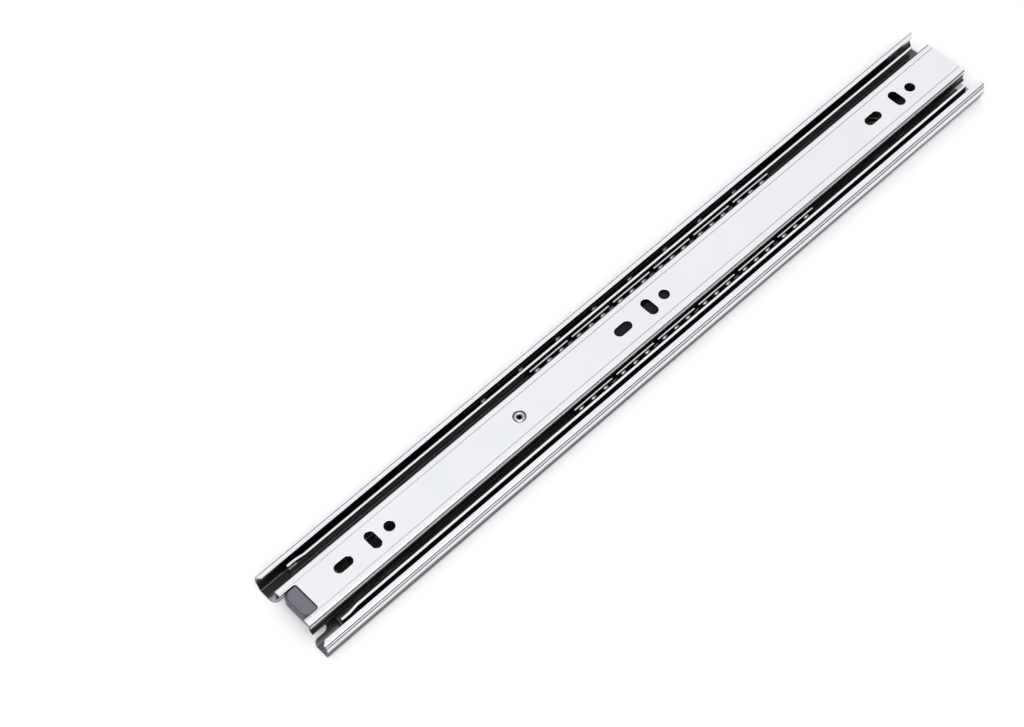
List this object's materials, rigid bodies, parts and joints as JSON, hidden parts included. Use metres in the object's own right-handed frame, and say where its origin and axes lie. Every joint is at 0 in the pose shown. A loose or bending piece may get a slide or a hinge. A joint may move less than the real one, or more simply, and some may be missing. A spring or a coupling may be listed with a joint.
{
  "type": "cabinet drawer slide",
  "caption": "Full-extension ball-bearing drawer slide: nested zinc-plated steel channels on caged ball rows, side mounted between a cabinet wall and a drawer.",
  "frame": {"origin": "centre of the slide's footprint, on the cabinet member's mounting face", "axes": "+X is the direction the drawer pulls out, +Z points from the cabinet wall towards the drawer side, +Y completes the right-handed frame across the slide"},
  "size_m": [0.4, 0.0456, 0.0127],
  "materials": {
    "member_steel": "bright zinc plating, fine satin grain along the length",
    "cage_steel": "zinc-plated strip steel",
    "ball_steel": "polished bearing steel",
    "rivet_steel": "zinc-plated tubular rivet",
    "bumper_plastic": "moulded grey plastic",
    "lever_plastic": "moulded black plastic"
  },
  "bodies": {
    "cabinet": {"cabinet_member": "member_steel"},
    "intermediate": {"intermediate_member": "member_steel", "rear_bumper": "bumper_plastic"},
    "outer_cage": {"outer_ball_retainer": "cage_steel", "outer_ball_a_01": "ball_steel", "outer_ball_a_02": "ball_steel", "outer_ball_a_03": "ball_steel", "outer_ball_a_04": "ball_steel", "outer_ball_a_05": "ball_steel", "outer_ball_a_06": "ball_steel", "outer_ball_a_07": "ball_steel", "outer_ball_a_08": "ball_steel", "outer_ball_b_01": "ball_steel", "outer_ball_b_02": "ball_steel", "outer_ball_b_03": "ball_steel", "outer_ball_b_04": "ball_steel", "outer_ball_b_05": "ball_steel", "outer_ball_b_06": "ball_steel", "outer_ball_b_07": "ball_steel", "outer_ball_b_08": "ball_steel"},
    "drawer": {"drawer_member": "member_steel", "lever_rivet": "rivet_steel"},
    "inner_cage": {"inner_ball_retainer": "cage_steel", "inner_ball_a_01": "ball_steel", "inner_ball_a_02": "ball_steel", "inner_ball_a_03": "ball_steel", "inner_ball_a_04": "ball_steel", "inner_ball_a_05": "ball_steel", "inner_ball_a_06": "ball_steel", "inner_ball_a_07": "ball_steel", "inner_ball_a_08": "ball_steel", "inner_ball_a_09": "ball_steel", "inner_ball_a_10": "ball_steel", "inner_ball_a_11": "ball_steel", "inner_ball_a_12": "ball_steel", "inner_ball_a_13": "ball_steel", "inner_ball_a_14": "ball_steel", "inner_ball_a_15": "ball_steel", "inner_ball_a_16": "ball_steel", "inner_ball_a_17": "ball_steel", "inner_ball_a_18": "ball_steel", "inner_ball_b_01": "ball_steel", "inner_ball_b_02": "ball_steel", "inner_ball_b_03": "ball_steel", "inner_ball_b_04": "ball_steel", "inner_ball_b_05": "ball_steel", "inner_ball_b_06": "ball_steel", "inner_ball_b_07": "ball_steel", "inner_ball_b_08": "ball_steel", "inner_ball_b_09": "ball_steel", "inner_ball_b_10": "ball_steel", "inner_ball_b_11": "ball_steel", "inner_ball_b_12": "ball_steel", "inner_ball_b_13": "ball_steel", "inner_ball_b_14": "ball_steel", "inner_ball_b_15": "ball_steel", "inner_ball_b_16": "ball_steel", "inner_ball_b_17": "ball_steel", "inner_ball_b_18": "ball_steel"},
    "lever": {"release_lever": "lever_plastic"}
  },
  "joints": [
    {"name": "intermediate_slide", "type": "slide", "parent": "cabinet", "child": "intermediate", "axis": [1, 0, 0], "range_m": [0, 0.2]},
    {"name": "outer_cage_slide", "type": "slide", "parent": "cabinet", "child": "outer_cage", "axis": [1, 0, 0], "range_m": [0, 0.1]},
    {"name": "drawer_slide", "type": "slide", "parent": "intermediate", "child": "drawer", "axis": [1, 0, 0], "range_m": [0, 0.195]},
    {"name": "inner_cage_slide", "type": "slide", "parent": "intermediate", "child": "inner_cage", "axis": [1, 0, 0], "range_m": [0, 0.0975]},
    {"name": "lever_pivot", "type": "hinge", "parent": "drawer", "child": "lever", "pos_m": [-0.0726, 0, 0.0097], "axis": [0, 0, 1], "range_deg": [0, 3.5], "stiffness_Nm_per_rad": 0.02}
  ],
  "couplings": [
    {"joint": "outer_cage_slide", "follows": "intermediate_slide", "ratio": 0.5},
    {"joint": "inner_cage_slide", "follows": "drawer_slide", "ratio": 0.5}
  ]
}
